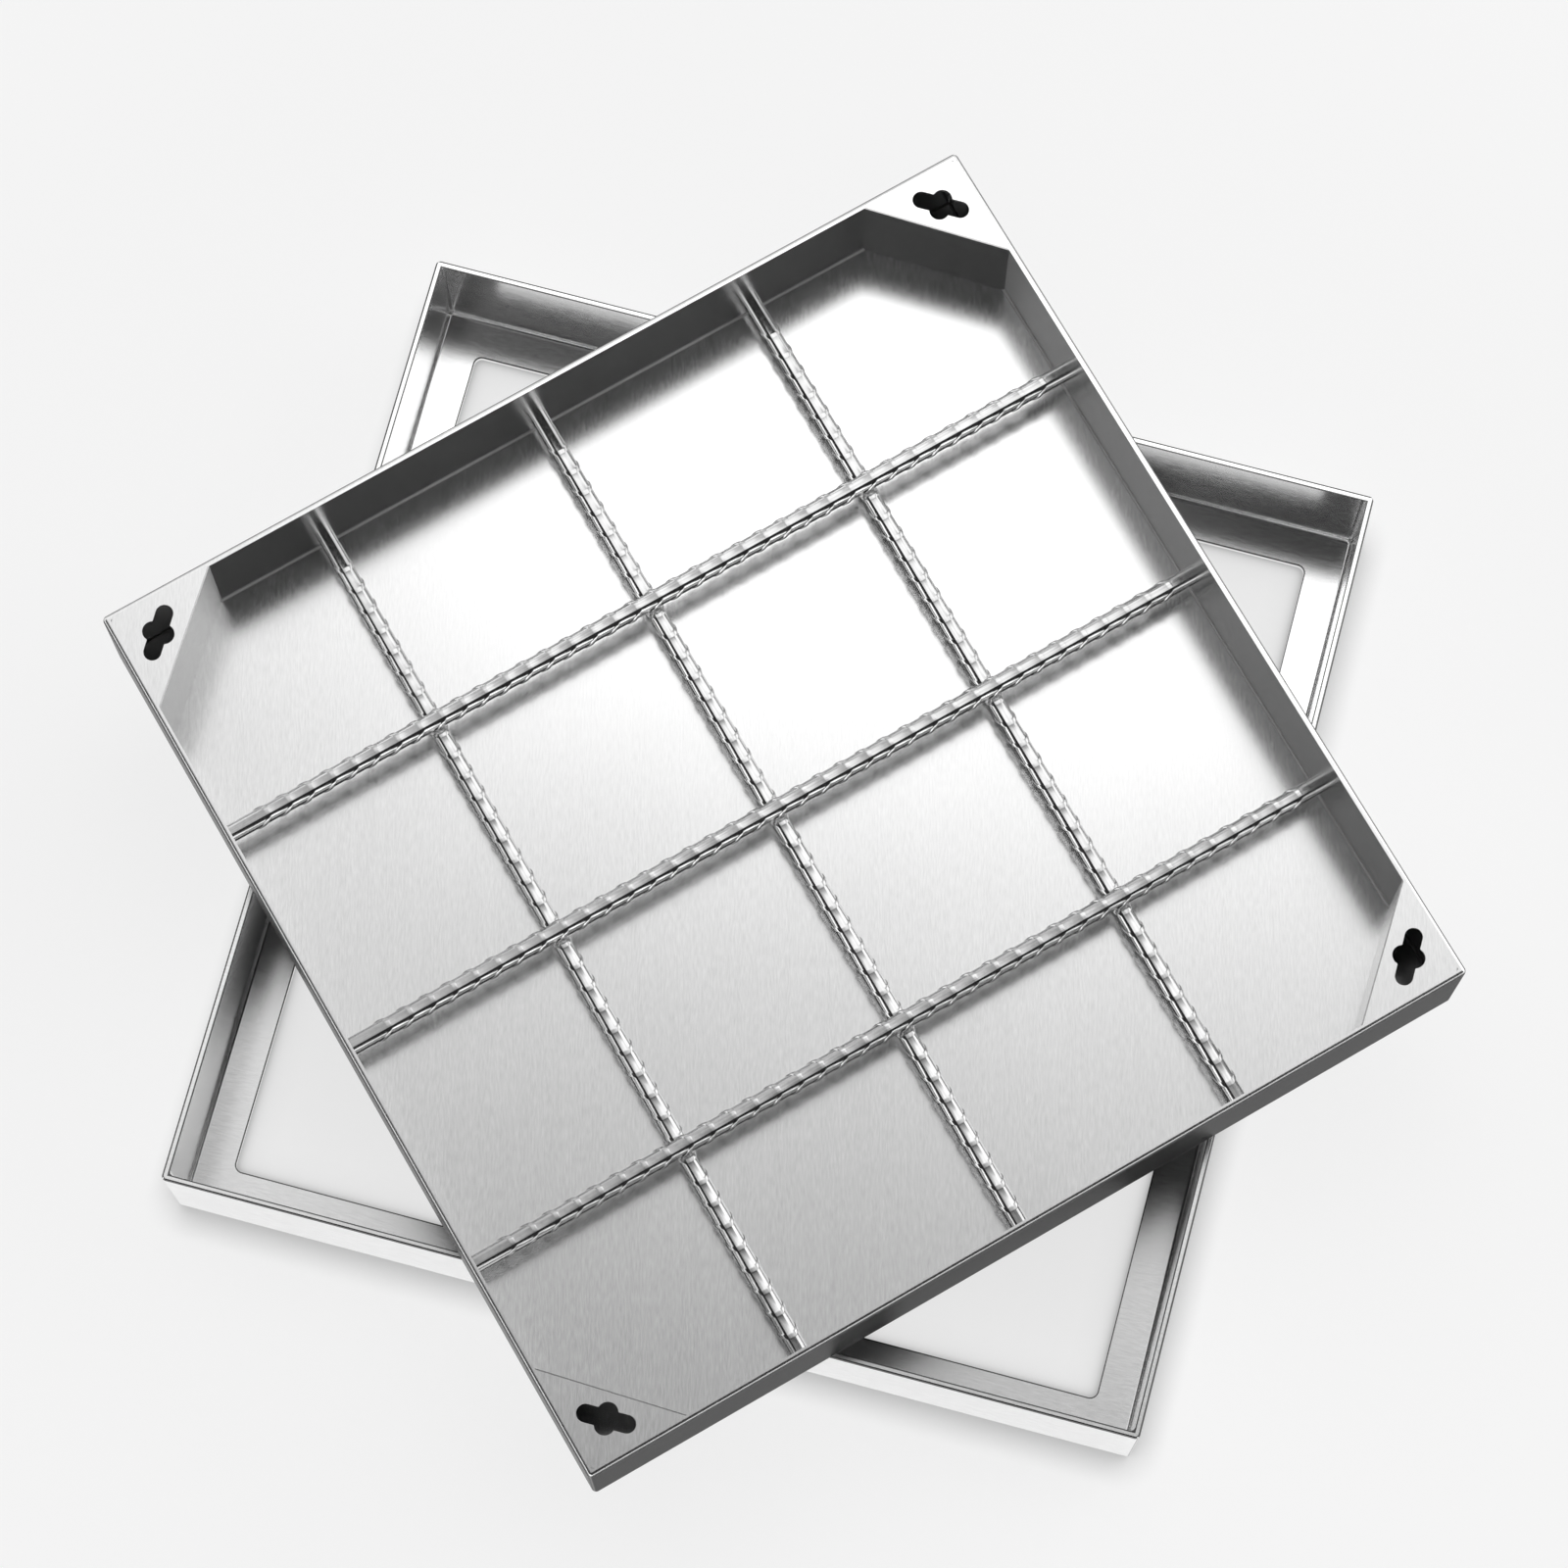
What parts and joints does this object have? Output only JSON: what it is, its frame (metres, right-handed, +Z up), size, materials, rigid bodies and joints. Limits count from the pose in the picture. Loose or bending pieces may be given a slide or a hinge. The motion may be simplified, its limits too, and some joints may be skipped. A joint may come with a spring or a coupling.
{
  "type": "recessed access cover",
  "caption": "Square recessed access cover: a sheet-steel tray with key-slot corner brackets and a grid of bars for paving infill, lying turned on its L-section frame.",
  "frame": {"origin": "on the ground, under the middle of the outer frame", "axes": "+Z up; +X and +Y along the tray's walls; the outer frame is turned by 45 degrees about Z"},
  "size_m": [0.8616, 0.8616, 0.167],
  "materials": {
    "frame_steel": "brushed stainless sheet",
    "tray_steel": "brushed stainless sheet",
    "bracket_steel": "brushed stainless sheet",
    "bar_steel": "drawn and ribbed bar, satin"
  },
  "bodies": {
    "root": {"outer_frame": "frame_steel", "cover_tray": "tray_steel", "bracket_back_left": "bracket_steel", "bracket_back_right": "bracket_steel", "bracket_front_left": "bracket_steel", "bracket_front_right": "bracket_steel", "lower_bar_left": "bar_steel", "lower_bar_middle": "bar_steel", "lower_bar_right": "bar_steel", "upper_bar_front": "bar_steel", "upper_bar_middle": "bar_steel", "upper_bar_back": "bar_steel"}
  },
  "joints": []
}
